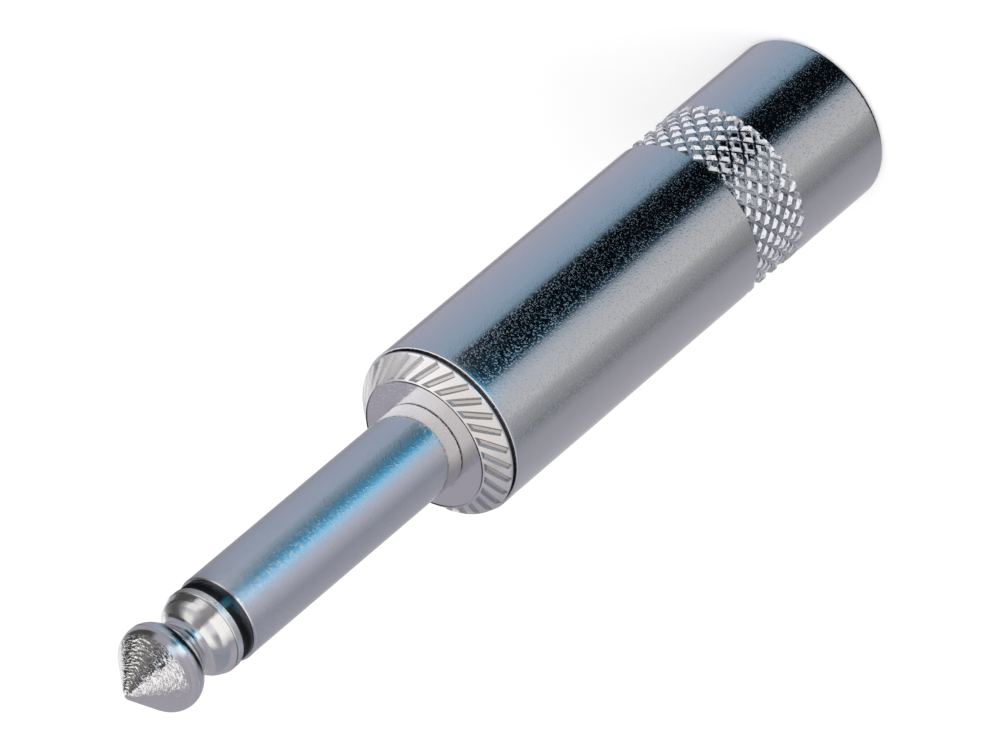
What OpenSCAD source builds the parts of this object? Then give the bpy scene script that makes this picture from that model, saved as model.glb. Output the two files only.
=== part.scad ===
// Two-pole audio jack plug, standing on the rear end of its shell with the tip up.
// The shell screws off the plug core, which carries both contacts and both solder terminals.

/* [Plug pin] */
// Diameter of the sleeve contact
sleeve_d = 6.35; // [6:0.05:6.6]
// Length from the face of the collar to the end of the tip
plug_len = 31; // [29:0.5:36]
// Width of the insulating ring that shows between tip and sleeve
ring_w = 1.05; // [0.8:0.05:2]
// How far the ring lies below the sleeve surface
ring_drop = 0.16; // [0.02:0.01:0.25]
// Chamfer at the front edge of the sleeve
sleeve_edge = 0.15; // [0.05:0.05:0.3]
// Fillet where the sleeve meets the collar
root_fillet = 0.1; // [0.05:0.05:0.4]

/* [Tip] */
// Length of the tip from its end to the ring
tip_len = 8.15; // [8:0.05:9.5]
// Half angle of the cone
cone_angle = 45; // [43:0.5:47]
// Radius of the rounded nose
nose_r = 0.35; // [0.2:0.05:0.6]
// How far the ball lies below the sleeve surface
ball_drop = 0.02; // [0.02:0.01:0.15]
// Rounding of the ball behind the cone
ball_round = 1.5; // [1.3:0.05:1.6]
// Radius of the neck that a jack spring drops into
neck_r = 2.05; // [1.9:0.05:2.3]
// Rounding at the bottom of the neck
neck_round = 1.2; // [1:0.05:1.3]
// How far the shoulder lies below the sleeve surface
shoulder_drop = 0.22; // [0.12:0.01:0.3]
// Rounding of the shoulder
shoulder_round = 0.95; // [0.7:0.05:1.1]
// Width of the rim next to the ring
rim_w = 0.55; // [0.3:0.05:0.7]
// How far that rim lies below the sleeve surface
front_drop = 0.09; // [0.03:0.01:0.12]
// Width and depth of the fine groove behind the shoulder
rim_groove = 0.1; // [0.05:0.01:0.12]

/* [Collar] */
// How far the edge of the flat face lies inside the shell surface
bevel_w = 1.48; // [1.2:0.02:1.8]
// Length of the collar along the axis
collar_t = 1.5; // [1.2:0.05:2]
// How far the rim of the collar lies below the shell surface
rim_drop = 0.13; // [0.05:0.01:0.3]
// Width of the plain land between the serrations and the rim
rim_land = 0.25; // [0.15:0.05:0.4]
// Length of the seat step that keeps the collar off the shell
seat_t = 0.25; // [0.15:0.05:0.4]
// How far the seat step lies inside the shell surface
seat_drop = 0.43; // [0.35:0.01:0.55]
// Number of serrations round the collar
serration_n = 30; // [20:1:40]
// How far a serration turns round the axis from the face to the rim
serration_turn = 15; // [0:1:20]
// Width of a serration at the surface
serration_w = 0.5; // [0.3:0.02:0.7]
// Width of a serration at its floor
serration_floor = 0.2; // [0.05:0.05:0.25]
// Depth of a serration
serration_h = 0.2; // [0.1:0.02:0.3]
// Width of the plain edge between the serrations and the face
edge_land = 0.06; // [0.04:0.02:0.2]

/* [Thread] */
// Pitch of the shell thread
thread_pitch = 0.75; // [0.5:0.05:1]
// How far the major radius of the thread lies outside the bore
thread_step = 0.3; // [0.2:0.05:0.4]
// Length of the threaded boss
boss_len = 6; // [5.5:0.25:9]
// Radial gap between the boss and the shell
thread_gap = 0.05; // [0.02:0.01:0.1]

/* [Shell] */
// Outer diameter of the shell
shell_d = 12.7; // [12.5:0.05:13.5]
// Length of the shell
shell_len = 41.25; // [38:0.25:46]
// Wall of the shell round the liner
shell_wall = 1.2; // [1.1:0.05:1.6]
// Length of the threaded mouth
mouth_len = 6.75; // [6.5:0.25:10]
// Thickness of the rear wall
wall_t = 2.5; // [2:0.1:4]
// Diameter of the cable hole
cable_d = 8; // [6:0.25:8.5]
// Rounding of the outer edge at the rear
rear_round = 0.5; // [0.2:0.05:0.8]
// Rounding of the outer edge at the mouth
mouth_round = 0.2; // [0.1:0.05:0.35]
// Chamfer of the thread start and of the cable hole
hole_edge = 0.25; // [0.1:0.05:0.3]

/* [Grip] */
// Distance from the rear end to the knurled band
grip_z = 9.4; // [4:0.1:16]
// Length of the knurled band
grip_len = 5.2; // [3.9:1.3:9.1]
// Depth of the grooves of the knurl
grip_h = 0.25; // [0.1:0.01:0.35]
// Number of grooves of each hand round the shell
knurl_n = 28; // [20:1:36]
// Axial distance between grooves of one hand
knurl_pitch = 1.3; // [1:0.1:2]
// Share of a diamond's half width that its flank takes
knurl_flank = 0.38; // [0.2:0.02:0.6]

/* [Insulation] */
// Wall of the liner that keeps the shell off the solder joints
liner_wall = 0.4; // [0.25:0.05:0.6]
// Radial gap between the liner and the shell
liner_gap = 0.08; // [0.04:0.01:0.1]
// Gap at each end of the liner
liner_end_gap = 0.3; // [0.2:0.05:0.5]
// Wall of the tube inside the sleeve contact
tube_wall = 0.75; // [0.5:0.05:0.9]
// Radius of the spigot behind the insulating ring
spigot_r = 2.4; // [2.2:0.05:2.5]
// Length of the spigot
spigot_len = 2.5; // [1.5:0.25:5]
// Thickness of the washer between the terminals
washer_t = 0.8; // [0.5:0.1:1.2]
// Gap between that washer and the arm of the earth terminal
washer_gap = 0.25; // [0.1:0.05:0.5]
// Gap on the radius between pieces that are pushed together
slip_gap = 0.03; // [0.02:0.01:0.05]

/* [Contacts and terminals] */
// Diameter of the rod behind the tip
rod_d = 2.4; // [2:0.05:2.6]
// Radius of the riveted end of the rod
rivet_r = 1.7; // [1.5:0.05:1.8]
// Thickness of the riveted end
rivet_t = 0.5; // [0.3:0.05:0.8]
// Sheet thickness of the earth terminal
earth_t = 0.6; // [0.5:0.05:0.7]
// Radius of the riveted lip that holds the earth terminal
lip_r = 2.4; // [2.3:0.05:2.6]
// Room between the earth terminal and the liner
earth_gap = 0.87; // [0.8:0.01:1]
// Half angle that the arm spans round the axis
arm_half = 35; // [25:1:45]
// Distance from the rear end to the cable clamp
clamp_z = 6.5; // [5.5:0.25:9]
// Length of the cable clamp
clamp_len = 5; // [3.5:0.25:7]
// Height of the clamp wings beside the cable
wing_h = 1.9; // [1:0.1:2]
// Rounding of the corners of the wings
wing_round = 1.2; // [0.4:0.1:1.5]
// Diameter of the solder hole in the arm
earth_hole_d = 1.6; // [1:0.1:2]
// Sheet thickness of the tip terminal
lug_t = 0.4; // [0.3:0.05:0.5]
// Radius of the tip terminal
lug_r = 2.4; // [2.3:0.05:2.5]
// Width of the solder tab
tab_w = 2.2; // [1.8:0.1:2.6]
// Length of the solder tab
tab_len = 8; // [5:0.5:11]
// Diameter of the solder hole in the tab
tab_hole_d = 1.2; // [0.8:0.1:1.4]

/* [Hidden] */
$fn = 96;

sleeve_r = sleeve_d / 2;
rod_r = rod_d / 2;
shell_r = shell_d / 2;
bore_r = shell_r - shell_wall;
thread_r = bore_r + thread_step;

// Stations along the axis, from the rear end up
rim_z = shell_len + seat_t;
face_z = rim_z + collar_t;
end_z = face_z + plug_len;
ring_z = end_z - tip_len;
edge_z = ring_z - ring_w;
boss_z = shell_len - boss_len;
washer_z = boss_z - earth_t;
lug_z = washer_z - washer_t;
rivet_z = lug_z - lug_t - rivet_t;
spigot_z = edge_z - spigot_len;

// Radii that seat on each other
rod_hole_r = rod_r + slip_gap;
tube_r = rod_hole_r + tube_wall;
core_bore_r = tube_r + slip_gap;
liner_r = bore_r - liner_gap;
mouth_r = thread_r + thread_gap;
rim_r = shell_r - rim_drop;
face_r = shell_r - bevel_w;
seat_r = shell_r - seat_drop;
// The thread run-out behind the collar is a pitch wide and as deep as the thread
relief_w = thread_pitch;
relief_h = 0.6134 * thread_pitch;
liner_in_r = liner_r - liner_wall;
earth_r = liner_in_r - earth_gap;
arm_in_r = earth_r - earth_t;
washer_r = arm_in_r - washer_gap;

// Cone of the collar between its flat face and the plain land
cone_r = rim_r - rim_land / 2;
cone_z = rim_z + rim_land;
cone_len = norm([cone_r - face_r, face_z - cone_z]);
cone_mid_r = (face_r + cone_r) / 2;

// Lattice of the knurl: half steps round the shell and along it
knurl_rows = 2 * round(grip_len / knurl_pitch);
knurl_step = 180 / knurl_n;
knurl_rise = grip_len / knurl_rows;
// The lattice ends run into the shell, and its tops stay just under the shell surface
knurl_sink = 0.05;
knurl_top_r = shell_r - 0.02;
knurl_root_r = shell_r - grip_h;
knurl_seat_r = knurl_root_r - 0.08;
knurl_in_r = knurl_seat_r - 0.1;

// Points along an arc, seen in the half plane of a turned profile
function arc(cx, cz, r, a0, a1, n = 12) =
  [for (i = [0:n]) [cx + r * cos(a0 + (a1 - a0) * i / n), cz + r * sin(a0 + (a1 - a0) * i / n)]];

// Tangent chain of the tip: nose, cone, ball, neck and shoulder, from the end downward
nose_c = end_z - nose_r;
ball_c_r = sleeve_r - ball_drop - ball_round;
cone_rise = ball_c_r + (ball_round - nose_r) * cos(cone_angle);
ball_c_z = nose_c - cone_rise / tan(cone_angle) - (ball_round - nose_r) * sin(cone_angle);
neck_c_r = neck_r + neck_round;
ball_turn = acos((neck_c_r - ball_c_r) / (ball_round + neck_round));
neck_c_z = ball_c_z - (ball_round + neck_round) * sin(ball_turn);
shoulder_r = sleeve_r - shoulder_drop;
shoulder_c_r = shoulder_r - shoulder_round;
shoulder_turn = acos((neck_c_r - shoulder_c_r) / (neck_round + shoulder_round));
shoulder_c_z = neck_c_z - (neck_round + shoulder_round) * sin(shoulder_turn);
// The rim and its fine groove take the foot of the shoulder where the tip is short
front_r = sleeve_r - front_drop;
foot_z = ring_z + rim_w + rim_groove;
foot_turn = asin(min(0.7, max(0, (foot_z - shoulder_c_z) / shoulder_round)));
groove_r = shoulder_c_r + shoulder_round * cos(foot_turn) - rim_groove;

module tip_contact() {
  color([0.78, 0.78, 0.8])
    rotate_extrude()
      polygon(concat(
        [[0, rivet_z], [rivet_r - rivet_t / 2, rivet_z], [rivet_r, rivet_z + rivet_t / 2],
         [rivet_r, rivet_z + rivet_t], [rod_r, rivet_z + rivet_t], [rod_r, ring_z],
         [front_r, ring_z], [front_r, ring_z + rim_w], [groove_r, ring_z + rim_w],
         [groove_r, foot_z]],
        arc(shoulder_c_r, shoulder_c_z, shoulder_round, foot_turn, shoulder_turn),
        arc(neck_c_r, neck_c_z, neck_round, 180 + shoulder_turn, 180 - ball_turn, 16),
        arc(ball_c_r, ball_c_z, ball_round, -ball_turn, 90 - cone_angle, 20),
        arc(0, nose_c, nose_r, 90 - cone_angle, 90, 6)));
}

module ring_insulator() {
  ring_r = sleeve_r - ring_drop;
  color([0.06, 0.06, 0.07])
    difference() {
      union() {
        translate([0, 0, edge_z]) cylinder(r = ring_r, h = ring_w);
        translate([0, 0, spigot_z]) cylinder(r = spigot_r, h = spigot_len + ring_w / 2);
      }
      translate([0, 0, spigot_z - 1]) cylinder(r = rod_hole_r, h = spigot_len + ring_w + 2);
    }
}

module tube_insulator() {
  color([0.9, 0.89, 0.84])
    translate([0, 0, washer_z])
      difference() {
        cylinder(r = tube_r, h = spigot_z - washer_z);
        translate([0, 0, -1]) cylinder(r = rod_hole_r, h = spigot_z - washer_z + 2);
      }
}

// One oblique slot across the cone of the collar, closed by the plain edge of the face
module serration_cut() {
  slope = atan2(face_z - cone_z, cone_r - face_r);
  skew = atan(cone_mid_r * serration_turn * PI / 180 / cone_len);
  run = cone_len / cos(skew);
  flank = (serration_w - serration_floor) / 2 / serration_h;
  top_w = serration_w + 2 * flank;
  difference() {
    translate([cone_mid_r, 0, (face_z + cone_z) / 2])
      rotate([0, slope, 0]) rotate([0, 0, -skew]) rotate([90, 0, 90])
        translate([0, 0, -run * 0.75])
          linear_extrude(run * 1.25)
            polygon([[-serration_floor / 2, -serration_h], [serration_floor / 2, -serration_h],
                     [top_w / 2, 1], [-top_w / 2, 1]]);
    translate([0, 0, rim_z - 1]) cylinder(r = face_r + edge_land, h = collar_t + 4);
  }
}

module sleeve() {
  color([0.76, 0.76, 0.79])
    difference() {
      rotate_extrude()
        polygon(concat(
          [[0, washer_z], [lip_r, washer_z], [lip_r, boss_z],
           [thread_r - hole_edge, boss_z], [thread_r, boss_z + hole_edge],
           [thread_r, shell_len - relief_w], [thread_r - relief_h, shell_len - relief_w],
           [thread_r - relief_h, shell_len], [seat_r, shell_len], [seat_r, rim_z],
           [rim_r, rim_z], [rim_r, rim_z + rim_land / 2],
           [rim_r - rim_land / 2, rim_z + rim_land], [face_r, face_z]],
          arc(sleeve_r + root_fillet, face_z + root_fillet, root_fillet, 270, 180, 6),
          [[sleeve_r, edge_z - sleeve_edge], [sleeve_r - sleeve_edge, edge_z], [0, edge_z]]));
      translate([0, 0, washer_z - 1]) cylinder(r = core_bore_r, h = edge_z - washer_z + 2);
      translate([0, 0, spigot_z]) cylinder(r = spigot_r + slip_gap, h = spigot_len + 1);
      for (i = [0:serration_n - 1]) rotate([0, 0, i * 360 / serration_n]) serration_cut();
    }
}

module rear_washer() {
  color([0.55, 0.33, 0.2])
    translate([0, 0, lug_z])
      difference() {
        cylinder(r = washer_r, h = washer_t);
        translate([0, 0, -1]) cylinder(r = rod_hole_r, h = washer_t + 2);
      }
}

// Sector of a tube round the axis, half_angle to each side of the -Y direction
module trough(r_out, r_in, half_angle, h) {
  reach = r_out * 2;
  difference() {
    cylinder(r = r_out, h = h);
    translate([0, 0, -1]) cylinder(r = r_in, h = h + 2);
    for (side = [-1, 1])
      rotate([0, 0, side * half_angle])
        translate([side > 0 ? 0 : -reach, -reach, -1]) cube([reach, reach * 2, h + 2]);
    translate([-reach, 0, -1]) cube([reach * 2, reach, h + 2]);
  }
}

module earth_terminal() {
  clamp_top = clamp_z + clamp_len;
  color([0.74, 0.73, 0.72])
    difference() {
      union() {
        translate([0, 0, washer_z])
          difference() {
            cylinder(r = earth_r, h = earth_t);
            translate([0, 0, -1]) cylinder(r = lip_r + slip_gap, h = earth_t + 2);
          }
        translate([0, 0, clamp_z])
          trough(earth_r, arm_in_r, arm_half, washer_z + earth_t / 2 - clamp_z);
        translate([0, 0, clamp_z]) trough(earth_r, arm_in_r, 90, clamp_len);
        for (side = [-1, 1])
          translate([side > 0 ? arm_in_r : -earth_r, 0, clamp_z])
            cube([earth_t, wing_h, clamp_len]);
      }
      translate([0, 0, (clamp_top + rivet_z) / 2])
        rotate([90, 0, 0]) cylinder(d = earth_hole_d, h = earth_r + 1);
      wing_corner(clamp_top - wing_round, 0);
      wing_corner(clamp_z + wing_round, -wing_round - 1);
    }
}

// Waste outside the rounded corners of both wings, round a centre at height z
module wing_corner(z, drop) {
  translate([-earth_r - 1, wing_h - wing_round, z])
    difference() {
      translate([0, 0, drop]) cube([2 * earth_r + 2, wing_round + 1, wing_round + 1]);
      rotate([0, 90, 0])
        translate([0, 0, -1]) cylinder(r = wing_round, h = 2 * earth_r + 4);
    }
}

module tip_terminal() {
  tab_z = lug_z - tab_len + tab_w / 2;
  color([0.8, 0.79, 0.76])
    difference() {
      union() {
        translate([0, 0, lug_z - lug_t]) cylinder(r = lug_r, h = lug_t);
        translate([-tab_w / 2, lug_r - lug_t, tab_z]) cube([tab_w, lug_t, lug_z - tab_z]);
        translate([0, lug_r, tab_z]) rotate([90, 0, 0]) cylinder(d = tab_w, h = lug_t);
      }
      translate([0, 0, lug_z - lug_t - 1]) cylinder(r = rod_hole_r, h = lug_t + 2);
      translate([0, lug_r + 1, tab_z])
        rotate([90, 0, 0]) cylinder(d = tab_hole_d, h = lug_t + 2);
    }
}

module liner() {
  liner_z = wall_t + liner_end_gap;
  liner_len = boss_z - liner_end_gap - liner_z;
  color([0.12, 0.12, 0.13])
    translate([0, 0, liner_z])
      difference() {
        cylinder(r = liner_r, h = liner_len);
        translate([0, 0, -1]) cylinder(r = liner_in_r, h = liner_len + 2);
      }
}

// Point on the knurl: m steps round, k steps along
function knurl_point(m, k, r) =
  [r * cos(m * knurl_step), r * sin(m * knurl_step),
   grip_z + k * knurl_rise + (k <= 0 ? -knurl_sink : k >= knurl_rows ? knurl_sink : 0)];

// Index of a lattice point: a crossing of grooves has one point, in slot 0, and a diamond has
// the right, upper, left and lower corners of its flat top in slots 0 to 3
function knurl_at(m, k, slot = 0) = 4 * (k * 2 * knurl_n + (m + 2 * knurl_n) % (2 * knurl_n)) + slot;

// Ring of raised diamonds between two families of crossing helical grooves
module knurl() {
  columns = 2 * knurl_n;
  top = 1 - knurl_flank;
  lattice = [for (k = [0:knurl_rows]) for (m = [0:columns - 1]) for (slot = [0:3])
    (m + k) % 2 == 0 ? knurl_point(m, k, knurl_root_r)
      : slot % 2 == 0 ? knurl_point(m + top * (1 - slot), k, knurl_top_r)
      : knurl_point(m, min(max(k + top * (2 - slot), 0), knurl_rows), knurl_top_r)];
  core = [for (k = [0, knurl_rows]) for (m = [0:columns - 1]) knurl_point(m, k, knurl_in_r)];
  first = len(lattice);
  function core_at(m, end) = first + end * columns + (m + columns) % columns;
  faces = [for (k = [0:knurl_rows]) for (m = [0:columns - 1]) if ((m + k) % 2 == 1) each concat(
    k == knurl_rows ? [] : [
      [knurl_at(m, k + 1), knurl_at(m + 1, k), knurl_at(m, k, 0)],
      [knurl_at(m, k + 1), knurl_at(m, k, 0), knurl_at(m, k, 1)],
      [knurl_at(m - 1, k), knurl_at(m, k + 1), knurl_at(m, k, 1)],
      [knurl_at(m - 1, k), knurl_at(m, k, 1), knurl_at(m, k, 2)]],
    k == 0 ? [] : [
      [knurl_at(m + 1, k), knurl_at(m, k - 1), knurl_at(m, k, 3)],
      [knurl_at(m + 1, k), knurl_at(m, k, 3), knurl_at(m, k, 0)],
      [knurl_at(m, k - 1), knurl_at(m - 1, k), knurl_at(m, k, 2)],
      [knurl_at(m, k - 1), knurl_at(m, k, 2), knurl_at(m, k, 3)]],
    k == 0 ? [[knurl_at(m, k, 1), knurl_at(m, k, 0), knurl_at(m, k, 2)]]
      : k == knurl_rows ? [[knurl_at(m, k, 0), knurl_at(m, k, 3), knurl_at(m, k, 2)]]
      : [[knurl_at(m, k, 1), knurl_at(m, k, 0), knurl_at(m, k, 3)],
         [knurl_at(m, k, 3), knurl_at(m, k, 2), knurl_at(m, k, 1)]])];
  low_end = [for (m = [1:2:columns]) [knurl_at(m - 1, 0), knurl_at(m, 0, 2), knurl_at(m, 0, 0),
    knurl_at(m + 1, 0), core_at(m + 1, 0), core_at(m - 1, 0)]];
  high_end = [for (m = [1:2:columns]) [core_at(m - 1, 1), core_at(m + 1, 1),
    knurl_at(m + 1, knurl_rows), knurl_at(m, knurl_rows, 0), knurl_at(m, knurl_rows, 2),
    knurl_at(m - 1, knurl_rows)]];
  inside = [for (m = [1:2:columns])
    [core_at(m - 1, 0), core_at(m + 1, 0), core_at(m + 1, 1), core_at(m - 1, 1)]];
  polyhedron(concat(lattice, core), concat(faces, low_end, high_end, inside));
}

module shell() {
  cable_r = cable_d / 2;
  step_z = shell_len - mouth_len;
  color([0.72, 0.72, 0.75]) {
    rotate_extrude()
      polygon(concat(
        [[cable_r, hole_edge], [cable_r + hole_edge, 0]],
        arc(shell_r - rear_round, rear_round, rear_round, 270, 360, 6),
        [[shell_r, grip_z], [knurl_seat_r, grip_z],
         [knurl_seat_r, grip_z + grip_len], [shell_r, grip_z + grip_len]],
        arc(shell_r - mouth_round, shell_len - mouth_round, mouth_round, 0, 90, 6),
        [[mouth_r + hole_edge, shell_len], [mouth_r, shell_len - hole_edge],
         [mouth_r, step_z], [bore_r, step_z], [bore_r, wall_t], [cable_r, wall_t]]));
    knurl();
  }
}

shell();
liner();
sleeve();
tip_contact();
ring_insulator();
tube_insulator();
rear_washer();
earth_terminal();
tip_terminal();
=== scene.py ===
import math
import random
import bpy
from mathutils import Matrix, Vector


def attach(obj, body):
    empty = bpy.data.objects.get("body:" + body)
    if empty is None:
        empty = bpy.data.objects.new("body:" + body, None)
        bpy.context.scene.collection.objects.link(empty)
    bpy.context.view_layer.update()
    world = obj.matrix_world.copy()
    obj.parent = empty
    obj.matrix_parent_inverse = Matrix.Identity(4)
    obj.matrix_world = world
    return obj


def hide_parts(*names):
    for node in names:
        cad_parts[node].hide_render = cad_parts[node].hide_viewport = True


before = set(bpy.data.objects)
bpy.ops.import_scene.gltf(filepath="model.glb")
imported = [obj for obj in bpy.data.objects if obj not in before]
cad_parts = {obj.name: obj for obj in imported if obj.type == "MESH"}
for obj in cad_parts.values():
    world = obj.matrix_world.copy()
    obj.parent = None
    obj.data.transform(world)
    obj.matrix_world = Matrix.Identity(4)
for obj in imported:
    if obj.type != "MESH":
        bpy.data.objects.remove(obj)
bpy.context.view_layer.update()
bpy.ops.object.select_all(action="DESELECT")

# Tip contact. One brass rod, turned on the lathe: cone, ball, neck and shoulder at the top, and a
# thin stem that runs down through the plug and is riveted over. Lengths here are in millimetres,
# and each finished piece is brought to metres.
mm = 0.001
sharp_edge = math.radians(32)


def arc(centre_r, centre_z, round_r, start, end, count):
    """Stations along a rounding of the turned profile, from one angle in degrees to another."""
    turns = [math.radians(start + (end - start) * i / count) for i in range(count + 1)]
    return [(centre_r + round_r * math.cos(t), centre_z + round_r * math.sin(t)) for t in turns]


def spun_skin(name, stations, sides):
    """Draws a ring through (radius, height) stations, one by one, and leaves the skin in edit mode."""
    radius, height = stations[0]
    bpy.ops.mesh.primitive_circle_add(vertices=sides, radius=radius)
    piece = bpy.context.object
    piece.name = piece.data.name = name
    bpy.ops.object.mode_set(mode="EDIT")
    bpy.ops.mesh.select_all(action="SELECT")
    bpy.ops.transform.translate(value=(0, 0, height))
    for wide, high in stations[1:]:
        bpy.ops.mesh.extrude_edges_move(TRANSFORM_OT_translate={"value": (0, 0, high - height)})
        bpy.ops.transform.resize(value=(wide / radius, wide / radius, 1), center_override=(0, 0, high))
        radius, height = wide, high
    return piece


def turn(name, stations, sides, tube=False):
    """Turns a closed piece: a tube's last ring joins its first, and a bar's two ends are filled."""
    piece = spun_skin(name, stations, sides)
    bpy.ops.mesh.select_all(action="SELECT")
    bpy.ops.mesh.remove_doubles(threshold=0.0002)
    bpy.ops.mesh.select_all(action="DESELECT")
    bpy.ops.mesh.select_non_manifold()
    if tube:
        bpy.ops.mesh.bridge_edge_loops()
    else:
        bpy.ops.mesh.fill_holes(sides=sides)
    bpy.ops.mesh.select_all(action="SELECT")
    bpy.ops.mesh.normals_make_consistent(inside=False)
    bpy.ops.object.mode_set(mode="OBJECT")
    return piece


def finish_piece(piece, body, node):
    """Brings a piece to metres, smooths its round faces and hands it to its body."""
    bpy.ops.object.select_all(action="DESELECT")
    bpy.context.view_layer.objects.active = piece
    piece.select_set(True)
    piece.scale = (mm, mm, mm)
    bpy.ops.object.transform_apply(location=True, rotation=True, scale=True)
    bpy.ops.object.shade_smooth_by_angle(angle=sharp_edge)
    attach(piece, body)
    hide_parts(node)
    piece.select_set(False)


def noise(tree, place, scale, detail, roughness=0.5):
    """A noise pattern, from 0 to 1."""
    pattern = tree.nodes.new("ShaderNodeTexNoise")
    pattern.inputs["Scale"].default_value = scale
    pattern.inputs["Detail"].default_value = detail
    pattern.inputs["Roughness"].default_value = roughness
    tree.links.new(place, pattern.inputs["Vector"])
    return pattern.outputs["Fac"]


def spread(tree, value, start, end, low=0.0, high=1.0, smooth=False):
    """Spreads a value that runs from start to end over low to high."""
    ramp = tree.nodes.new("ShaderNodeMapRange")
    ramp.interpolation_type = "SMOOTHSTEP" if smooth else "LINEAR"
    ramp.inputs["From Min"].default_value = start
    ramp.inputs["From Max"].default_value = end
    ramp.inputs["To Min"].default_value = low
    ramp.inputs["To Max"].default_value = high
    tree.links.new(value, ramp.inputs["Value"])
    return ramp.outputs["Result"]


def mixed(tree, factor, first, second):
    """A mix of two colours, each of them plain or the output of a node."""
    mix = tree.nodes.new("ShaderNodeMix")
    mix.data_type = "RGBA"
    tree.links.new(factor, mix.inputs["Factor"])
    for socket, colour in ((mix.inputs["A"], first), (mix.inputs["B"], second)):
        if isinstance(colour, tuple):
            socket.default_value = (*colour, 1)
        else:
            tree.links.new(colour, socket)
    return mix.outputs["Result"]


def dents(tree, height, depth):
    """The bump node of a surface that is uneven by a depth in millimetres."""
    bump = tree.nodes.new("ShaderNodeBump")
    bump.inputs["Distance"].default_value = depth * mm
    tree.links.new(height, bump.inputs["Height"])
    return bump


def plating(name, tint, roughness, grain, depth, mark_depth=0.0, mark_from=0.0):
    """Nickel plate: a fine blasted grain, soft clouds in its gloss, and tool marks above a height."""
    metal = bpy.data.materials.new(name)
    metal.use_nodes = True
    tree = metal.node_tree
    shader = tree.nodes["Principled BSDF"]
    shader.inputs["Metallic"].default_value = 1.0
    place = tree.nodes.new("ShaderNodeTexCoord").outputs["Object"]
    blast = noise(tree, place, scale=1 / (grain * mm), detail=2.0, roughness=0.6)
    pits = dents(tree, spread(tree, blast, start=0.53, end=0.72, smooth=True), depth)
    tree.links.new(pits.outputs["Normal"], shader.inputs["Normal"])
    if mark_depth:
        stretch = tree.nodes.new("ShaderNodeMapping")
        stretch.inputs["Scale"].default_value = (2200, 2200, 7500)
        tree.links.new(place, stretch.inputs["Vector"])
        scratches = noise(tree, stretch.outputs["Vector"], scale=1.0, detail=2.0)
        marks = dents(tree, scratches, mark_depth)
        level = tree.nodes.new("ShaderNodeSeparateXYZ")
        tree.links.new(place, level.inputs["Vector"])
        fade = spread(tree, level.outputs["Z"], start=(mark_from - 0.03) * mm, end=(mark_from + 0.03) * mm)
        tree.links.new(fade, marks.inputs["Strength"])
        tree.links.new(marks.outputs["Normal"], pits.inputs["Normal"])
    cloud = noise(tree, place, scale=700, detail=4.0)
    gloss = spread(tree, cloud, start=0.3, end=0.7, low=roughness * 0.85, high=roughness * 1.15)
    tree.links.new(gloss, shader.inputs["Roughness"])
    tone = mixed(tree, cloud, tuple(c * 0.95 for c in tint), tint)
    tree.links.new(tone, shader.inputs["Base Color"])
    return metal


tip_end, tip_len, nose_r, nose_stop = 74.0, 8.15, 0.6, 87
ball_r, ball_round, neck_r, neck_round, shoulder_r, shoulder_round = 3.155, 1.5, 2.05, 1.2, 2.955, 0.95
rim_r, rim_w, rim_edge, rim_groove, groove_lip = 3.085, 0.55, 0.04, 0.1, 0.02
rivet_r, rivet_z, rivet_h, rivet_chamfer, stem_r, pip_r = 1.7, 32.95, 0.5, 0.25, 1.2, 0.02
cone_angle, shoulder_angle = 45, 22
cone_lean, shoulder_lean = math.radians(cone_angle), math.radians(shoulder_angle)
ring_top = tip_end - tip_len
rim_top = ring_top + rim_w
shoulder_foot = rim_top + rim_groove
nose_z = tip_end - nose_r
ball_mid = ball_r - ball_round
cone_rise = ball_mid + (ball_round - nose_r) * math.cos(cone_lean)
ball_z = nose_z - cone_rise / math.tan(cone_lean) - (ball_round - nose_r) * math.sin(cone_lean)
cone_foot = ball_z + ball_round * math.cos(cone_lean)
neck_mid = neck_r + neck_round
ball_turn = math.degrees(math.acos((neck_mid - ball_mid) / (ball_round + neck_round)))
neck_z = ball_z - (ball_round + neck_round) * math.sin(math.radians(ball_turn))
shoulder_mid = shoulder_r - shoulder_round
shoulder_turn = math.degrees(math.acos((neck_mid - shoulder_mid) / (neck_round + shoulder_round)))
shoulder_z = neck_z - (neck_round + shoulder_round) * math.sin(math.radians(shoulder_turn))
slant_top = shoulder_z + shoulder_round * math.sin(shoulder_lean)
foot_r = (shoulder_mid + shoulder_round * math.cos(shoulder_lean)
          + (slant_top - shoulder_foot) * math.tan(shoulder_lean))
tip_profile = (
    [(pip_r, rivet_z), (rivet_r - rivet_chamfer, rivet_z), (rivet_r, rivet_z + rivet_chamfer),
     (rivet_r, rivet_z + rivet_h), (stem_r, rivet_z + rivet_h), (stem_r, ring_top),
     (rim_r - rim_edge, ring_top), (rim_r, ring_top + rim_edge), (rim_r, rim_top - rim_edge),
     (rim_r - rim_edge, rim_top), (foot_r - rim_groove, rim_top),
     (foot_r - rim_groove, shoulder_foot - groove_lip), (foot_r, shoulder_foot)]
    + arc(shoulder_mid, shoulder_z, shoulder_round, shoulder_angle, shoulder_turn, count=14)
    + arc(neck_mid, neck_z, neck_round, 180 + shoulder_turn, 180 - ball_turn, count=16)
    + arc(ball_mid, ball_z, ball_round, -ball_turn, 90 - cone_angle, count=20)
    + arc(0, nose_z, nose_r, 90 - cone_angle, nose_stop, count=6))
tip = turn("tip_contact_turned", tip_profile, sides=192)
tip.data.materials.append(plating(
    "tip_nickel", tint=(0.76, 0.75, 0.74), roughness=0.09, grain=0.12, depth=0.002,
    mark_depth=0.1, mark_from=cone_foot - 0.3))
finish_piece(tip, "core", "tip_contact")

# Insulating parts inside the plug, pushed over the stem one after the other: a milky nylon tube,
# and above it the glossy black ring that shows between the tip and the sleeve.


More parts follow.
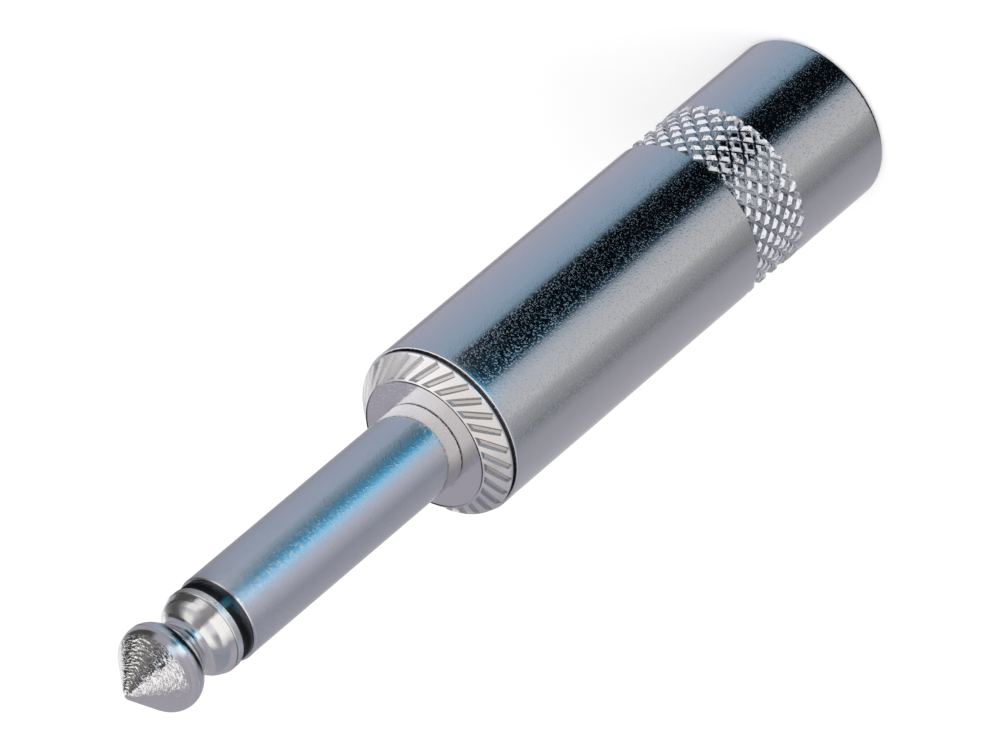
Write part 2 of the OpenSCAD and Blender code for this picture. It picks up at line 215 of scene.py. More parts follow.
def moulded(name, colour, roughness, mottle, depth, ior=1.5):
    """Moulded plastic: an even colour, with faint mottling and a slightly uneven skin."""
    plastic = bpy.data.materials.new(name)
    plastic.use_nodes = True
    tree = plastic.node_tree
    shader = tree.nodes["Principled BSDF"]
    shader.inputs["Roughness"].default_value = roughness
    shader.inputs["IOR"].default_value = ior
    place = tree.nodes.new("ShaderNodeTexCoord").outputs["Object"]
    skin = noise(tree, place, scale=1 / (mottle * mm), detail=3.0)
    tone = mixed(tree, skin, tuple(c * 0.8 for c in colour), tuple(c * 1.2 for c in colour))
    tree.links.new(tone, shader.inputs["Base Color"])
    tree.links.new(dents(tree, skin, depth).outputs["Normal"], shader.inputs["Normal"])
    return plastic


ring_r, ring_edge, ring_hole, spigot_r, spigot_z, sleeve_front = 3.015, 0.035, 1.23, 2.4, 62.3, 64.8
ring_profile = [
    (spigot_r, spigot_z), (spigot_r, sleeve_front), (ring_r - ring_edge, sleeve_front),
    (ring_r, sleeve_front + ring_edge), (ring_r, ring_top - ring_edge),
    (ring_r - ring_edge, ring_top), (ring_hole, ring_top), (ring_hole, spigot_z)]
ring = turn("insulating_ring", ring_profile, sides=128, tube=True)
ring.data.materials.append(moulded(
    "black_plastic", colour=(0.002, 0.002, 0.003), roughness=0.03, mottle=0.3, depth=0.0003, ior=2.1))
finish_piece(ring, "core", "ring_insulator")
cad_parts["tube_insulator"].material_slots[0].material = moulded(
    "milky_nylon", colour=(0.78, 0.76, 0.7), roughness=0.4, mottle=0.8, depth=0.002)

# Sleeve contact. Turned in one piece with its collar and threaded boss, then thirty oblique
# serrations are pressed into the cone of the collar, and the whole piece is nickel plated.


def join(piece, other, operation):
    """Cuts, adds or keeps what two solid pieces share, and takes the second one away."""
    bpy.ops.object.select_all(action="DESELECT")
    bpy.context.view_layer.objects.active = piece
    piece.select_set(True)
    fit = piece.modifiers.new("join", "BOOLEAN")
    fit.operation = operation
    fit.solver = "EXACT"
    fit.use_self = True
    fit.object = other
    fit.material_mode = "TRANSFER"
    bpy.ops.object.modifier_apply(modifier="join")
    bpy.data.objects.remove(other)
    return piece


def thread_ridge(name, start, pitch, turns, root, crest, root_w, crest_w):
    """A helical ridge with a flat crest, for a right-hand thread."""
    bpy.ops.mesh.primitive_plane_add(size=1, rotation=(math.pi / 2, 0, 0))
    ridge = bpy.context.object
    ridge.name = ridge.data.name = name
    bpy.ops.object.transform_apply(location=False, rotation=True, scale=False)
    bpy.ops.object.mode_set(mode="EDIT")
    bpy.ops.mesh.select_all(action="SELECT")
    bpy.ops.mesh.delete(type="ONLY_FACE")
    bpy.ops.object.mode_set(mode="OBJECT")
    for corner in ridge.data.vertices:
        at_root = corner.co.x < 0
        corner.co.x = root if at_root else crest
        corner.co.z = start + math.copysign((root_w if at_root else crest_w) / 2, corner.co.z)
    screw = ridge.modifiers.new("screw", "SCREW")
    screw.angle, screw.screw_offset, screw.iterations = math.tau, pitch, turns
    screw.steps = screw.render_steps = 96
    screw.use_merge_vertices = False
    bpy.ops.object.modifier_apply(modifier="screw")
    bpy.ops.object.mode_set(mode="EDIT")
    bpy.ops.mesh.select_all(action="SELECT")
    bpy.ops.mesh.remove_doubles(threshold=0.0005)
    bpy.ops.mesh.select_all(action="DESELECT")
    bpy.ops.mesh.select_non_manifold()
    bpy.ops.mesh.fill_holes(sides=4)
    bpy.ops.mesh.select_all(action="SELECT")
    bpy.ops.mesh.normals_make_consistent(inside=False)
    bpy.ops.object.mode_set(mode="OBJECT")
    return ridge


bore_r, pilot_r, pilot_z, boss_z, thread_end, mouth_z = 2.01, 2.4, 34.65, 35.25, 40.5, 41.25
thread_pitch, thread_minor, thread_major, relief_r = 0.75, 5.0, 5.45, 4.99
seat_r, collar_r, collar_z, collar_edge, land_z = 5.92, 6.22, 41.5, 0.04, 41.75
face_r, face_z, face_slot, root_slot = 4.87, 43.0, 0.18, 0.1
sleeve_r, sleeve_round, spigot_play = 3.175, 0.12, 0.03
boss_part = [
    (bore_r, pilot_z), (pilot_r, pilot_z), (pilot_r, boss_z), (thread_minor, boss_z),
    (thread_minor, thread_end), (relief_r, thread_end), (relief_r, mouth_z)]
collar_part = [
    (seat_r, mouth_z), (seat_r, collar_z), (collar_r - collar_edge, collar_z),
    (collar_r, collar_z + collar_edge), (collar_r, collar_z + 0.12), (collar_r - 0.01, collar_z + 0.15),
    (collar_r - 0.11, land_z - 0.02), (collar_r - 0.14, land_z + 0.015)]
face_part = [
    (face_r + collar_edge, face_z - collar_edge), (face_r, face_z), (face_r - 0.02, face_z),
    (face_r - 0.04, face_z - face_slot), (face_r - 0.11, face_z - face_slot), (face_r - 0.13, face_z),
    (sleeve_r + 0.115, face_z), (sleeve_r + 0.095, face_z - root_slot), (sleeve_r, face_z - root_slot)]
front_part = (
    [(sleeve_r, face_z + 0.16), (sleeve_r, sleeve_front - 0.18)]
    + arc(sleeve_r - sleeve_round, sleeve_front - sleeve_round, sleeve_round, 0, 90, count=8)
    + [(spigot_r + spigot_play, sleeve_front), (spigot_r + spigot_play, spigot_z), (bore_r, spigot_z)])
sleeve_profile = boss_part + collar_part + face_part + front_part
sleeve = turn("sleeve_contact_turned", sleeve_profile, sides=240, tube=True)

ridge = thread_ridge("boss_thread", start=boss_z - 0.5, pitch=thread_pitch, turns=8,
                     root=thread_minor - 0.06, crest=thread_major, root_w=0.7, crest_w=0.09)
blank_r, thread_gap, thread_chamfer = 4.5, 0.02, 0.25
blank = turn("thread_blank", [
    (blank_r, boss_z + thread_gap), (thread_major - thread_chamfer, boss_z + thread_gap),
    (thread_major, boss_z + thread_gap + thread_chamfer), (thread_major, thread_end - 0.15),
    (thread_major - thread_chamfer, thread_end - thread_gap), (blank_r, thread_end - thread_gap)],
    sides=96, tube=True)
sleeve = join(sleeve, join(ridge, blank, "INTERSECT"), "UNION")

serration_count, serration_turn, serration_w, serration_floor, serration_h = 30, 15, 0.5, 0.2, 0.2
stand_out, overlength, spin_play, sink_play = 0.12, 0.25, 0.6, 0.03
cone_r = 6.095
cone_mid, cone_len = (cone_r + face_r) / 2, math.hypot(cone_r - face_r, face_z - land_z)
slope = math.atan2(face_z - land_z, cone_r - face_r)
skew = math.atan(cone_mid * math.radians(serration_turn) / cone_len)
run = cone_len / math.cos(skew)
bpy.ops.mesh.primitive_cube_add(size=1)
cutter = bpy.context.object
bpy.ops.object.mode_set(mode="EDIT")
bpy.ops.transform.resize(value=(run * (1 + overlength), 1, serration_h + stand_out))
bpy.ops.transform.translate(value=(-run * overlength / 2, 0, (stand_out - serration_h) / 2))
bpy.ops.object.mode_set(mode="OBJECT")
flank = (serration_w - serration_floor) / 2 / serration_h
for corner in cutter.data.vertices:
    half = serration_floor / 2 if corner.co.z < 0 else serration_w / 2 + flank * stand_out
    corner.co.y = math.copysign(half, corner.co.y)
tilt = (Matrix.Translation((cone_mid, 0, (face_z + land_z) / 2)) @ Matrix.Rotation(slope, 4, "Y")
        @ Matrix.Rotation(-skew, 4, "Z"))
cutters = []
draw = random.Random(3)
for i in range(serration_count):
    copy = cutter.copy()
    copy.data = cutter.data.copy()
    bpy.context.collection.objects.link(copy)
    spin = math.tau * i / serration_count + math.radians(draw.uniform(-spin_play, spin_play))
    sink = Matrix.Translation((0, 0, draw.uniform(-sink_play, sink_play)))
    copy.matrix_world = Matrix.Rotation(spin, 4, "Z") @ tilt @ sink
    cutters.append(copy)
bpy.data.objects.remove(cutter)
bpy.ops.object.select_all(action="DESELECT")
for copy in cutters:
    copy.select_set(True)
bpy.context.view_layer.objects.active = cutters[0]
bpy.ops.object.join()
bpy.ops.object.transform_apply(location=True, rotation=True, scale=True)
serrations = bpy.context.object
sleeve.data.materials.clear()
sleeve.data.materials.append(plating(
    "sleeve_nickel", tint=(0.74, 0.73, 0.75), roughness=0.11, grain=0.14, depth=0.005))
# The serrations' cut faces take this material: rougher pressed nickel, with a darker tint that is painted
# shade in the grooves.
serrations.data.materials.append(plating(
    "pressed_nickel_painted_shade", tint=(0.52, 0.505, 0.515), roughness=0.24, grain=0.15, depth=0.008))
guard_in, guard_out = 0.1, face_r + 0.06
guard = turn("face_edge", [
    (guard_in, face_z - 2), (guard_out, face_z - 2), (guard_out, face_z + 2), (guard_in, face_z + 2)],
    sides=240, tube=True)
sleeve = join(sleeve, join(serrations, guard, "DIFFERENCE"), "DIFFERENCE")
bpy.ops.object.mode_set(mode="EDIT")
bpy.ops.mesh.select_all(action="SELECT")
bpy.ops.mesh.dissolve_degenerate(threshold=0.0005)
bpy.ops.object.mode_set(mode="OBJECT")
finish_piece(sleeve, "core", "sleeve")

# Washer and terminals, stacked on the stem below the boss and riveted: a fibre washer between the
# earth terminal with its cable clamp and the solder tab of the tip, both stamped from tinned sheet.
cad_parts["rear_washer"].material_slots[0].material = moulded(
    "brown_fibre", colour=(0.26, 0.09, 0.05), roughness=0.6, mottle=0.15, depth=0.01)
tin = plating("tinned_sheet", tint=(0.72, 0.71, 0.68), roughness=0.3, grain=0.4, depth=0.004)
for name in ("earth_terminal", "tip_terminal"):
    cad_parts[name].material_slots[0].material = tin

# Liner. A tube rolled from thin black plastic sheet. It lies loose in the shell, round the
# terminals, and keeps the soldered wires off the metal.
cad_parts["liner"].material_slots[0].material = moulded(
    "liner_black", colour=(0.02, 0.02, 0.022), roughness=0.45, mottle=0.2, depth=0.004)

# Shell. A turned brass tube, threaded in its mouth, with a band of diamond knurling rolled into it
# near the cable end. Satin nickel plated outside and in.
shell_r, band_z, band_len, knurl_count, knurl_rows, knurl_depth = 6.35, 9.4, 5.2, 28, 4, 0.25
root_r, band_top = shell_r - knurl_depth, band_z + band_len
cell_w, cell_h = math.tau * root_r / knurl_count, band_len / knurl_rows
half_w, half_h, seam = cell_w * knurl_count / 2, band_len / 2, 0.3 * cell_w
bpy.ops.mesh.primitive_grid_add(x_subdivisions=knurl_count + 2, y_subdivisions=knurl_rows + 1, size=1)
band = bpy.context.object
band.name = band.data.name = "knurled_band"
bpy.ops.object.mode_set(mode="EDIT")
bpy.ops.mesh.select_all(action="SELECT")
bpy.ops.transform.resize(value=(cell_w * (knurl_count + 2), cell_h * (knurl_rows + 1), 1))
bpy.ops.mesh.select_mode(type="EDGE")
bpy.ops.mesh.poke()
bpy.ops.mesh.select_all(action="DESELECT")
bpy.ops.object.mode_set(mode="OBJECT")
points = band.data.vertices
for edge in band.data.edges:
    a, b = (points[i].co for i in edge.vertices)
    along_x, along_y = abs(a.y - b.y) < 1e-4, abs(a.x - b.x) < 1e-4
    edge.select = along_x or along_y
bpy.ops.object.mode_set(mode="EDIT")
bpy.ops.mesh.dissolve_edges(use_verts=False)
bpy.ops.mesh.select_mode(type="FACE")
bpy.ops.mesh.select_all(action="SELECT")
for width, rise in ((0.07, 0), (0.14, 0.185), (0.07, 0.045)):
    bpy.ops.mesh.inset(thickness=width, depth=rise, use_individual=True, use_boundary=True)
bpy.ops.mesh.poke()
for place, side in (((0, half_h, 0), (0, 1, 0)), ((0, -half_h, 0), (0, -1, 0)),
                    ((half_w + seam, 0, 0), (1, 0, 0)), ((-half_w + seam, 0, 0), (-1, 0, 0))):
    bpy.ops.mesh.select_all(action="SELECT")
    bpy.ops.mesh.bisect(plane_co=place, plane_no=side, clear_outer=True, threshold=0.0001)
bpy.ops.object.mode_set(mode="OBJECT")
draw = random.Random(5)
nick, nick_in, nick_out = 0.03, 0.04, 0.01
for point in band.data.vertices:
    on_flank, in_band = point.co.z > 0.02, abs(point.co.y) < half_h - 0.01
    off_seam = abs(abs(point.co.x - seam) - half_w) > 0.3
    if on_flank and in_band and off_seam:
        point.co.x += draw.uniform(-nick, nick)
        point.co.y += draw.uniform(-nick, nick)
        point.co.z += draw.uniform(-nick_in, nick_out)
    angle, reach = point.co.x / root_r, root_r + point.co.z
    point.co = (reach * math.cos(angle), reach * math.sin(angle), band_z + half_h + point.co.y)

mouth_r, mouth_foot, mouth_round, mouth_flat = 5.5, 34.5, 0.07, 6.2
barrel_r, rear_wall, cable_r, cable_chamfer, rear_round = 5.15, 2.5, 4.0, 0.25, 0.5
shell_profile = (
    [(shell_r, band_top + 0.06), (shell_r, band_top + 0.12), (shell_r, mouth_z - 0.26)]
    + arc(shell_r - mouth_round, mouth_z - mouth_round, mouth_round, 0, 90, count=6)
    + [(mouth_flat, mouth_z), (mouth_r + 0.28, mouth_z), (mouth_r + 0.25, mouth_z - 0.01),
       (mouth_r, mouth_z - 0.25), (mouth_r, mouth_foot), (barrel_r, mouth_foot), (barrel_r, rear_wall),
       (cable_r, rear_wall), (cable_r, cable_chamfer), (cable_r + cable_chamfer, 0)]
    + arc(shell_r - rear_round, rear_round, rear_round, 270, 360, count=10)
    + [(shell_r, rear_round + 0.08), (shell_r, band_z - 0.12), (shell_r, band_z - 0.06)])
shell = spun_skin("shell_turned", shell_profile, sides=224)
bpy.ops.object.mode_set(mode="OBJECT")
bpy.ops.object.select_all(action="DESELECT")
band.select_set(True)
shell.select_set(True)
bpy.context.view_layer.objects.active = shell
bpy.ops.object.join()
bpy.ops.object.mode_set(mode="EDIT")
bpy.ops.mesh.select_all(action="SELECT")
bpy.ops.mesh.remove_doubles(threshold=0.002)
for lowest, highest in ((band_z - 0.1, band_z + 0.01), (band_top - 0.01, band_top + 0.1)):
    bpy.ops.mesh.select_mode(type="EDGE")
    bpy.ops.mesh.select_all(action="DESELECT")
    bpy.ops.mesh.select_non_manifold()
    bpy.ops.object.mode_set(mode="OBJECT")
    points = shell.data.vertices
    for edge in shell.data.edges:
        edge.select = edge.select and all(lowest < points[i].co.z < highest for i in edge.vertices)
    bpy.ops.object.mode_set(mode="EDIT")
    bpy.ops.mesh.bridge_edge_loops()
bpy.ops.mesh.select_all(action="SELECT")
bpy.ops.mesh.normals_make_consistent(inside=False)
bpy.ops.object.mode_set(mode="OBJECT")
shell.data.materials.append(plating(
    "shell_nickel", tint=(0.74, 0.73, 0.75), roughness=0.085, grain=0.14, depth=0.007))
# The flat of the shell's mouth, hidden under the collar, is painted near black: painted shade in the gap
# between shell and collar.
shell.data.materials.append(plating(
    "mouth_gap_painted_shade", tint=(0.05, 0.045, 0.045), roughness=0.4, grain=0.15, depth=0.005))
shell.data.materials.append(plating(
    "knurled_nickel", tint=(0.6, 0.605, 0.635), roughness=0.14, grain=0.32, depth=0.035))
for face in shell.data.polygons:
    outward, level = face.center.xy.length, face.center.z
    # Faces of the mouth's flat take the painted shade of the gap.
    if level > mouth_z - 0.001 and outward < mouth_flat:
        face.material_index = 1
    elif band_z < level < band_top and outward > root_r - 0.01 and len(face.vertices) < 5:
        face.material_index = 2
finish_piece(shell, "shell", "shell")

# Studio. The plug stands on a white floor. Cards round it, which only its shiny surfaces see, give
# the plating its dark, blue and white bands. Angles on a card are degrees round the upright axis,
# from the camera's side, and lengths here are in metres.
camera_side, floor_shift = 80, 0.0011
inner_end, outer_start = 0.0033, 0.005


def colour_wheel(tree, place, stops):
    """Colours that follow each other round the upright axis, from -180 to 180 degrees."""
    turned = tree.nodes.new("ShaderNodeMapping")
    turned.inputs["Rotation"].default_value = (0, 0, math.radians(-camera_side))
    tree.links.new(place, turned.inputs["Vector"])
    sweep = tree.nodes.new("ShaderNodeTexGradient")
    sweep.gradient_type = "RADIAL"
    tree.links.new(turned.outputs["Vector"], sweep.inputs["Vector"])
    ramp = tree.nodes.new("ShaderNodeValToRGB")
    tree.links.new(sweep.outputs["Fac"], ramp.inputs["Fac"])
    marks = ramp.color_ramp.elements
    marks[0].position, marks[1].position = 0, 1
    marks[0].color, marks[1].color = (*stops[0][1], 1), (*stops[-1][1], 1)
    for angle, colour in stops[1:-1]:
        marks.new((angle + 180) / 360).color = (*colour, 1)
    return ramp.outputs["Color"]


def glow(name, stops, underside, inner_stops):
    """A card's paint, that shines by itself. Inner stops hold near the axis, under the ball."""
    paint = bpy.data.materials.new(name)
    paint.use_nodes = True
    tree = paint.node_tree
    tree.nodes.remove(tree.nodes["Principled BSDF"])
    place = tree.nodes.new("ShaderNodeTexCoord").outputs["Object"]
    colour = colour_wheel(tree, place, stops)
    if inner_stops:
        flat = tree.nodes.new("ShaderNodeMapping")
        flat.inputs["Scale"].default_value = (1, 1, 0)
        tree.links.new(place, flat.inputs["Vector"])
        reach = tree.nodes.new("ShaderNodeVectorMath")
        reach.operation = "LENGTH"
        tree.links.new(flat.outputs["Vector"], reach.inputs[0])
        fade = spread(tree, reach.outputs["Value"], inner_end, outer_start, smooth=True)
        colour = mixed(tree, fade, colour_wheel(tree, place, inner_stops), colour)
    shine = tree.nodes.new("ShaderNodeEmission")
    tree.links.new(colour, shine.inputs["Color"])
    surface = shine.outputs["Emission"]
    if underside:
        side = tree.nodes.new("ShaderNodeNewGeometry")
        clear = tree.nodes.new("ShaderNodeBsdfTransparent")
        pick = tree.nodes.new("ShaderNodeMixShader")
        tree.links.new(side.outputs["Backfacing"], pick.inputs["Fac"])
        tree.links.new(clear.outputs["BSDF"], pick.inputs[1])
        tree.links.new(surface, pick.inputs[2])
        surface = pick.outputs["Shader"]
    tree.links.new(surface, tree.nodes["Material Output"].inputs["Surface"])
    return paint


def flag(name, inner, outer, level, stops, underside=False, inner_stops=None):
    """A flat ring of card round the plug, which only its reflections show."""
    bpy.ops.mesh.primitive_circle_add(vertices=180, radius=outer, fill_type="NGON")
    disc = bpy.context.object
    disc.name = name
    if not underside:
        disc.location = (floor_shift * math.cos(math.radians(camera_side)),
                         floor_shift * math.sin(math.radians(camera_side)), 0)
    bpy.ops.object.mode_set(mode="EDIT")
    bpy.ops.mesh.select_all(action="SELECT")
    bpy.ops.transform.translate(value=(0, 0, level))
    bpy.ops.mesh.inset(thickness=outer - inner)
    bpy.ops.mesh.delete(type="FACE")
    bpy.ops.object.mode_set(mode="OBJECT")
    disc.data.materials.append(glow(name, stops, underside, inner_stops))
    disc.visible_camera = disc.visible_diffuse = disc.visible_transmission = disc.visible_shadow = False


bpy.ops.object.select_all(action="DESELECT")
bpy.ops.mesh.primitive_plane_add(size=6)
floor = bpy.context.object
floor.name = "floor"
floor_paint = bpy.data.materials.new("white_floor")
floor_paint.use_nodes = True
floor_tree = floor_paint.node_tree
matt = floor_tree.nodes["Principled BSDF"]
matt.inputs["Base Color"].default_value = (0.85, 0.85, 0.86, 1)
matt.inputs["Roughness"].default_value = 1.0
matt.inputs["Specular IOR Level"].default_value = 0.0
matt.inputs["Emission Color"].default_value = (1, 1, 1, 1)
floor_ray = floor_tree.nodes.new("ShaderNodeLightPath")
lift = floor_tree.nodes.new("ShaderNodeMath")
lift.operation = "MULTIPLY"
lift.inputs[1].default_value = 0.3
floor_tree.links.new(floor_ray.outputs["Is Camera Ray"], lift.inputs[0])
floor_tree.links.new(lift.outputs["Value"], matt.inputs["Emission Strength"])
mirrored = floor_tree.nodes.new("ShaderNodeMath")
mirrored.operation = "MAXIMUM"
floor_tree.links.new(floor_ray.outputs["Is Glossy Ray"], mirrored.inputs[0])
floor_tree.links.new(floor_ray.outputs["Is Transmission Ray"], mirrored.inputs[1])
backdrop = floor_tree.nodes.new("ShaderNodeEmission")
backdrop.inputs["Color"].default_value = (1, 1, 1, 1)
shown = floor_tree.nodes.new("ShaderNodeMixShader")
floor_tree.links.new(mirrored.outputs["Value"], shown.inputs["Fac"])
floor_tree.links.new(matt.outputs["BSDF"], shown.inputs[1])
floor_tree.links.new(backdrop.outputs["Emission"], shown.inputs[2])
floor_tree.links.new(shown.outputs["Shader"], floor_tree.nodes["Material Output"].inputs["Surface"])
floor.data.materials.append(floor_paint)
floor.visible_glossy = False

lilac, white = (0.42, 0.41, 0.47), (1, 1, 1)
card_level, grip_level, shoulder_level = 0.0002, 0.056, 0.0692
ring_start, rim_start, tip_start, far_start = 0.09385, 0.09535, 0.102, 0.26
flag("sleeve_card", inner=0.0594, outer=ring_start, level=card_level, stops=[
    (-180, white), (-172, (0.9, 0.9, 0.9)), (-156, (0.48, 0.49, 0.53)), (-140, (0.41, 0.42, 0.47)),
    (-72, (0.32, 0.34, 0.41)), (-34, (0.53, 0.55, 0.64)), (-12, (0.42, 0.67, 0.9)),
    (-2, (0.26, 0.72, 1.05)), (8, (0.09, 0.44, 0.74)), (20, (0.06, 0.27, 0.43)), (36, (0.15, 0.27, 0.35)),
    (62, (0.38, 0.46, 0.56)), (100, (0.38, 0.445, 0.555)), (140, (0.35, 0.37, 0.43)),
    (152, (0.34, 0.35, 0.39)), (166, (0.6, 0.6, 0.62)), (175, (0.9, 0.9, 0.92)), (180, white)])
flag("ring_card", inner=ring_start, outer=rim_start, level=card_level, stops=[
    (-180, (0.1, 0.1, 0.1)), (-60, (0, 0, 0)), (4, (0, 0, 0)), (12, (0.15, 0.8, 1.15)),
    (22, (0.12, 0.7, 1.0)), (32, (0, 0, 0)), (90, (0.01, 0.01, 0.02)), (180, (0.03, 0.03, 0.03))])
flag("rim_card", inner=rim_start, outer=tip_start, level=card_level, stops=[
    (-180, (0.9, 0.9, 0.9)), (-160, lilac), (-140, (0.43, 0.44, 0.5)), (-120, (0.47, 0.5, 0.6)),
    (-100, (0.62, 0.68, 0.8)), (-60, (0.5, 0.53, 0.6)), (-40, (0.8, 0.8, 0.84)), (-20, (1.2, 1.2, 1.2)),
    (-8, (1.6, 1.55, 1.5)), (6, (1.6, 1.55, 1.5)), (20, (1.15, 0.95, 0.95)), (40, (1.3, 1.3, 1.35)),
    (60, white), (80, (0.6, 0.6, 0.62)), (100, (0.42, 0.42, 0.44)), (120, (0.25, 0.25, 0.26)),
    (140, (0.2, 0.2, 0.2)), (160, (0.2, 0.2, 0.2)), (170, (0.9, 0.9, 0.9)), (180, (0.9, 0.9, 0.9))])
flag("tip_card", inner=tip_start, outer=far_start, level=card_level, stops=[
    (-180, lilac), (-60, lilac), (-18, (0.5, 0.48, 0.56)), (-8, (1.1, 1.2, 1.25)), (8, (1.1, 1.2, 1.25)),
    (16, (0.1, 0.45, 0.62)), (24, (0.08, 0.2, 0.3)), (36, (0.36, 0.38, 0.44)), (62, (0.38, 0.4, 0.47)),
    (120, lilac), (146, lilac), (156, white), (180, white)])
flag("far_card", inner=far_start, outer=10, level=card_level, stops=[
    (-180, lilac), (-18, (0.5, 0.48, 0.56)), (-6, (0.9, 1.0, 1.1)), (8, (0.9, 1.0, 1.1)),
    (20, (0.42, 0.46, 0.55)), (60, lilac), (72, (0.08, 0.08, 0.08)), (134, (0.08, 0.08, 0.08)),
    (148, (0.5, 0.5, 0.52)), (156, white), (180, white)])
flag("collar_ceiling", inner=0.0045, outer=0.03, level=grip_level, stops=[
    (-180, lilac), (-118, lilac), (-104, (0.42, 0.41, 0.39)), (-84, (0.6, 0.58, 0.56)),
    (-60, (0.92, 0.9, 0.86)), (20, (1.0, 0.98, 0.93)), (50, (1.2, 1.18, 1.15)), (100, (1.3, 1.3, 1.3)),
    (146, (1.3, 1.3, 1.3)), (160, lilac), (180, lilac)], underside=True)
flag("grip_ceiling", inner=0.03, outer=1.2, level=grip_level, stops=[
    (-180, (0.5, 0.5, 0.55)), (-140, lilac), (-100, (0.6, 0.6, 0.62)), (-50, white),
    (-20, (1.4, 1.4, 1.4)), (50, (1.4, 1.4, 1.4)), (80, white), (120, (0.6, 0.6, 0.62)),
    (150, (0.55, 0.55, 0.6)), (180, (0.5, 0.5, 0.55))], underside=True)
flag("shoulder_ceiling", inner=0.0028, outer=0.06, level=shoulder_level, stops=[
    (-180, lilac), (-80, (0.3, 0.34, 0.4)), (-60, (0.36, 0.38, 0.43)), (-48, (0.85, 0.86, 0.88)),
    (-34, (1.15, 1.15, 1.15)), (6, (1.2, 1.2, 1.2)), (13, (0.3, 0.29, 0.29)), (33, (0.36, 0.35, 0.37)),
    (45, (0.98, 0.98, 0.98)), (64, white), (77, (0.4, 0.4, 0.42)), (92, (0.13, 0.13, 0.13)),
    (108, (0.1, 0.1, 0.1)), (124, (0.17, 0.17, 0.17)), (150, lilac), (180, lilac)],
    underside=True, inner_stops=[
        (-180, lilac), (-60, (0.36, 0.36, 0.42)), (-28, (0.38, 0.37, 0.41)), (-14, (0.9, 0.9, 0.95)),
        (4, (0.85, 0.86, 0.92)), (13, (0.26, 0.25, 0.3)), (24, (0.3, 0.3, 0.35)), (34, (0.5, 0.5, 0.56)),
        (47, (0.7, 0.7, 0.74)), (62, (0.55, 0.55, 0.58)), (76, (0.2, 0.2, 0.21)), (92, (0.07, 0.07, 0.07)),
        (108, (0.08, 0.08, 0.08)), (124, (0.16, 0.16, 0.16)), (150, lilac), (180, lilac)])

# Sky. It lights the plug with an even white. Only reflections see its coloured parts: a ground
# half, a low and a high part that meet on a slant, and one bright spot behind the plug.
world = bpy.data.worlds.new("studio")
bpy.context.scene.world = world
world.use_nodes = True
sky_tree = world.node_tree
way = sky_tree.nodes.new("ShaderNodeTexCoord").outputs["Generated"]


def along(first, second, direction, start, end):
    """Goes over from one part of the sky to another, by how far it lies along a direction."""
    height = sky_tree.nodes.new("ShaderNodeVectorMath")
    height.operation = "DOT_PRODUCT"
    height.inputs[1].default_value = direction
    sky_tree.links.new(way, height.inputs[0])
    return mixed(sky_tree, spread(sky_tree, height.outputs["Value"], start, end), first, second)


high_sky = [
    (-180, lilac), (-96, lilac), (-82, (1.2, 1.2, 1.2)), (-6, (1.2, 1.2, 1.2)), (3, (0.07, 0.065, 0.06)),
    (40, (0.1, 0.1, 0.1)), (68, (0.24, 0.235, 0.23)), (104, (0.2, 0.195, 0.19)), (122, (0.02, 0.02, 0.02)),
    (144, (0.03, 0.03, 0.03)), (150, (1.3, 1.3, 1.3)), (172, (1.3, 1.3, 1.3)), (179, lilac), (180, lilac)]
low_sky = [
    (-180, lilac), (-60, lilac), (-10, (0.5, 0.45, 0.52)), (4, (0.8, 0.95, 1.1)), (20, (0.8, 0.95, 1.1)),
    (30, lilac), (60, lilac), (72, (0.08, 0.08, 0.08)), (134, (0.08, 0.08, 0.08)), (148, lilac),
    (180, lilac)]
ground = [
    (-180, white), (-176, white), (-168, (0.62, 0.62, 0.65)), (-154, (0.47, 0.47, 0.51)),
    (-120, (0.43, 0.43, 0.48)), (-88, (0.37, 0.38, 0.42)), (-72, (0.235, 0.25, 0.265)),
    (-50, (0.39, 0.4, 0.4)), (-39, (0.62, 0.63, 0.63)), (-14, (0.57, 0.58, 0.6)), (-2, (0.4, 0.46, 0.52)),
    (7, (0.015, 0.045, 0.07)), (16, (0.002, 0.003, 0.005)), (48, (0.002, 0.003, 0.004)),
    (54, (0.015, 0.03, 0.045)), (61, (0.24, 0.37, 0.48)), (76, (0.33, 0.445, 0.57)),
    (120, (0.43, 0.46, 0.56)), (143, (0.45, 0.46, 0.53)), (152, (0.28, 0.28, 0.32)),
    (165, (0.42, 0.42, 0.45)), (177, white), (180, white)]
nadir, spot, upright = (0.01, 0.012, 0.015), (1.4, 1.4, 1.4), (0, 0, 1)
slant, slant_side = 0.3465, math.radians(camera_side + 150)
slant_way = (slant * math.cos(slant_side), slant * math.sin(slant_side), 1)
spot_side, spot_rise = math.radians(camera_side + 138), math.radians(48)
spot_way = (math.cos(spot_rise) * math.cos(spot_side), math.cos(spot_rise) * math.sin(spot_side),
            math.sin(spot_rise))
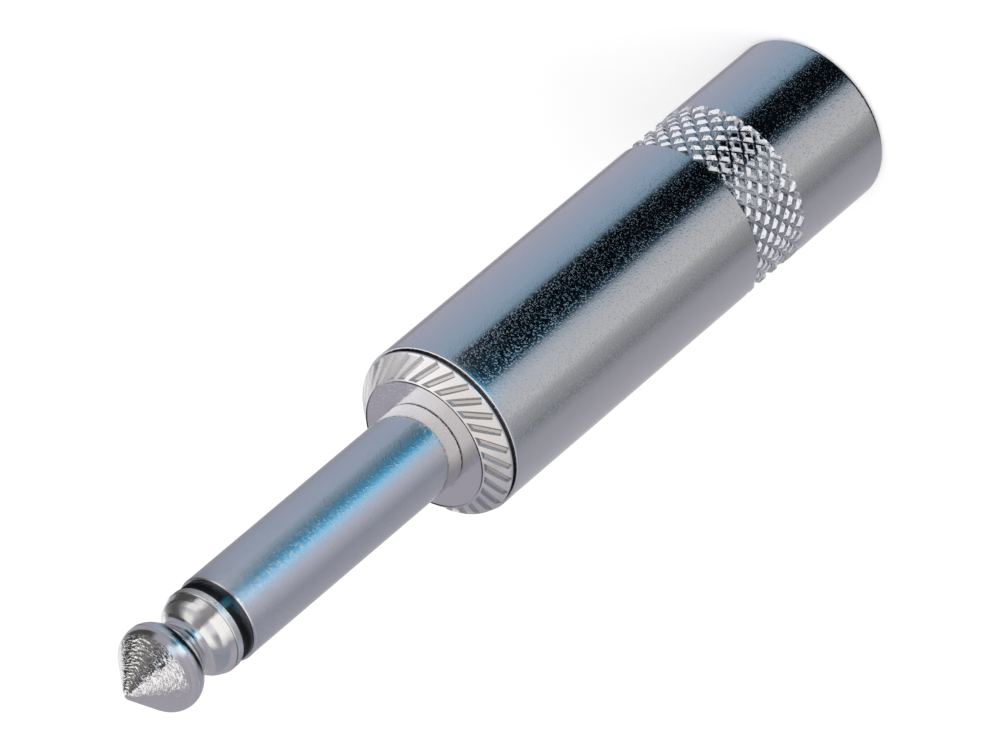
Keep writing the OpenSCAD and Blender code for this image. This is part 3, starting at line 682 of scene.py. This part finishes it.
upper = along(colour_wheel(sky_tree, way, low_sky), colour_wheel(sky_tree, way, high_sky),
              slant_way, start=0.24, end=0.36)
lower = along(nadir, colour_wheel(sky_tree, way, ground), upright, start=-0.9, end=-0.78)
both = along(lower, upper, upright, start=-0.03, end=0.0)
whole = along(both, spot, spot_way, start=0.9, end=0.93)
plain = sky_tree.nodes["Background"]
plain.inputs["Color"].default_value = (1, 1, 1, 1)
plain.inputs["Strength"].default_value = 0.75
coloured = sky_tree.nodes.new("ShaderNodeBackground")
sky_tree.links.new(whole, coloured.inputs["Color"])
sky_ray = sky_tree.nodes.new("ShaderNodeLightPath")
seen = sky_tree.nodes.new("ShaderNodeMixShader")
sky_tree.links.new(sky_ray.outputs["Is Glossy Ray"], seen.inputs["Fac"])
sky_tree.links.new(plain.outputs["Background"], seen.inputs[1])
sky_tree.links.new(coloured.outputs["Background"], seen.inputs[2])
sky_tree.links.new(seen.outputs["Shader"], sky_tree.nodes["World Output"].inputs["Surface"])

# Lamp and camera. One large soft lamp, high on the camera's side, lights the floor and the plug.
# The camera looks at the plug from far away, through a long lens.
bpy.ops.object.light_add(type="AREA", location=(0.25, 0.35, 0.6))
lamp = bpy.context.object
lamp.data.shape = "DISK"
lamp.data.size = 0.5
lamp.data.energy = 1.6
lamp.visible_glossy = False
lamp.rotation_euler = (-Vector(lamp.location)).to_track_quat("-Z", "Y").to_euler()

bpy.ops.object.camera_add()
camera = bpy.context.object
camera.name = "camera"
camera_place = Vector((0.08724305, 0.49482106, 0.41837035))
look = Vector((-0.13838783, -0.78251662, -0.60705565))
right = Vector((0.71661215, 0.34397126, -0.60675431))
up = Vector((-0.68360502, 0.51899087, -0.51315949))
facing = Matrix((right, up, -look)).transposed().to_4x4()
camera.matrix_world = Matrix.Translation(camera_place) @ facing
camera.data.sensor_width = 36
camera.data.lens = 344.306
camera.data.clip_start = 0.05
camera.data.clip_end = 10
bpy.context.scene.camera = camera
bpy.context.scene.view_settings.view_transform = "Standard"
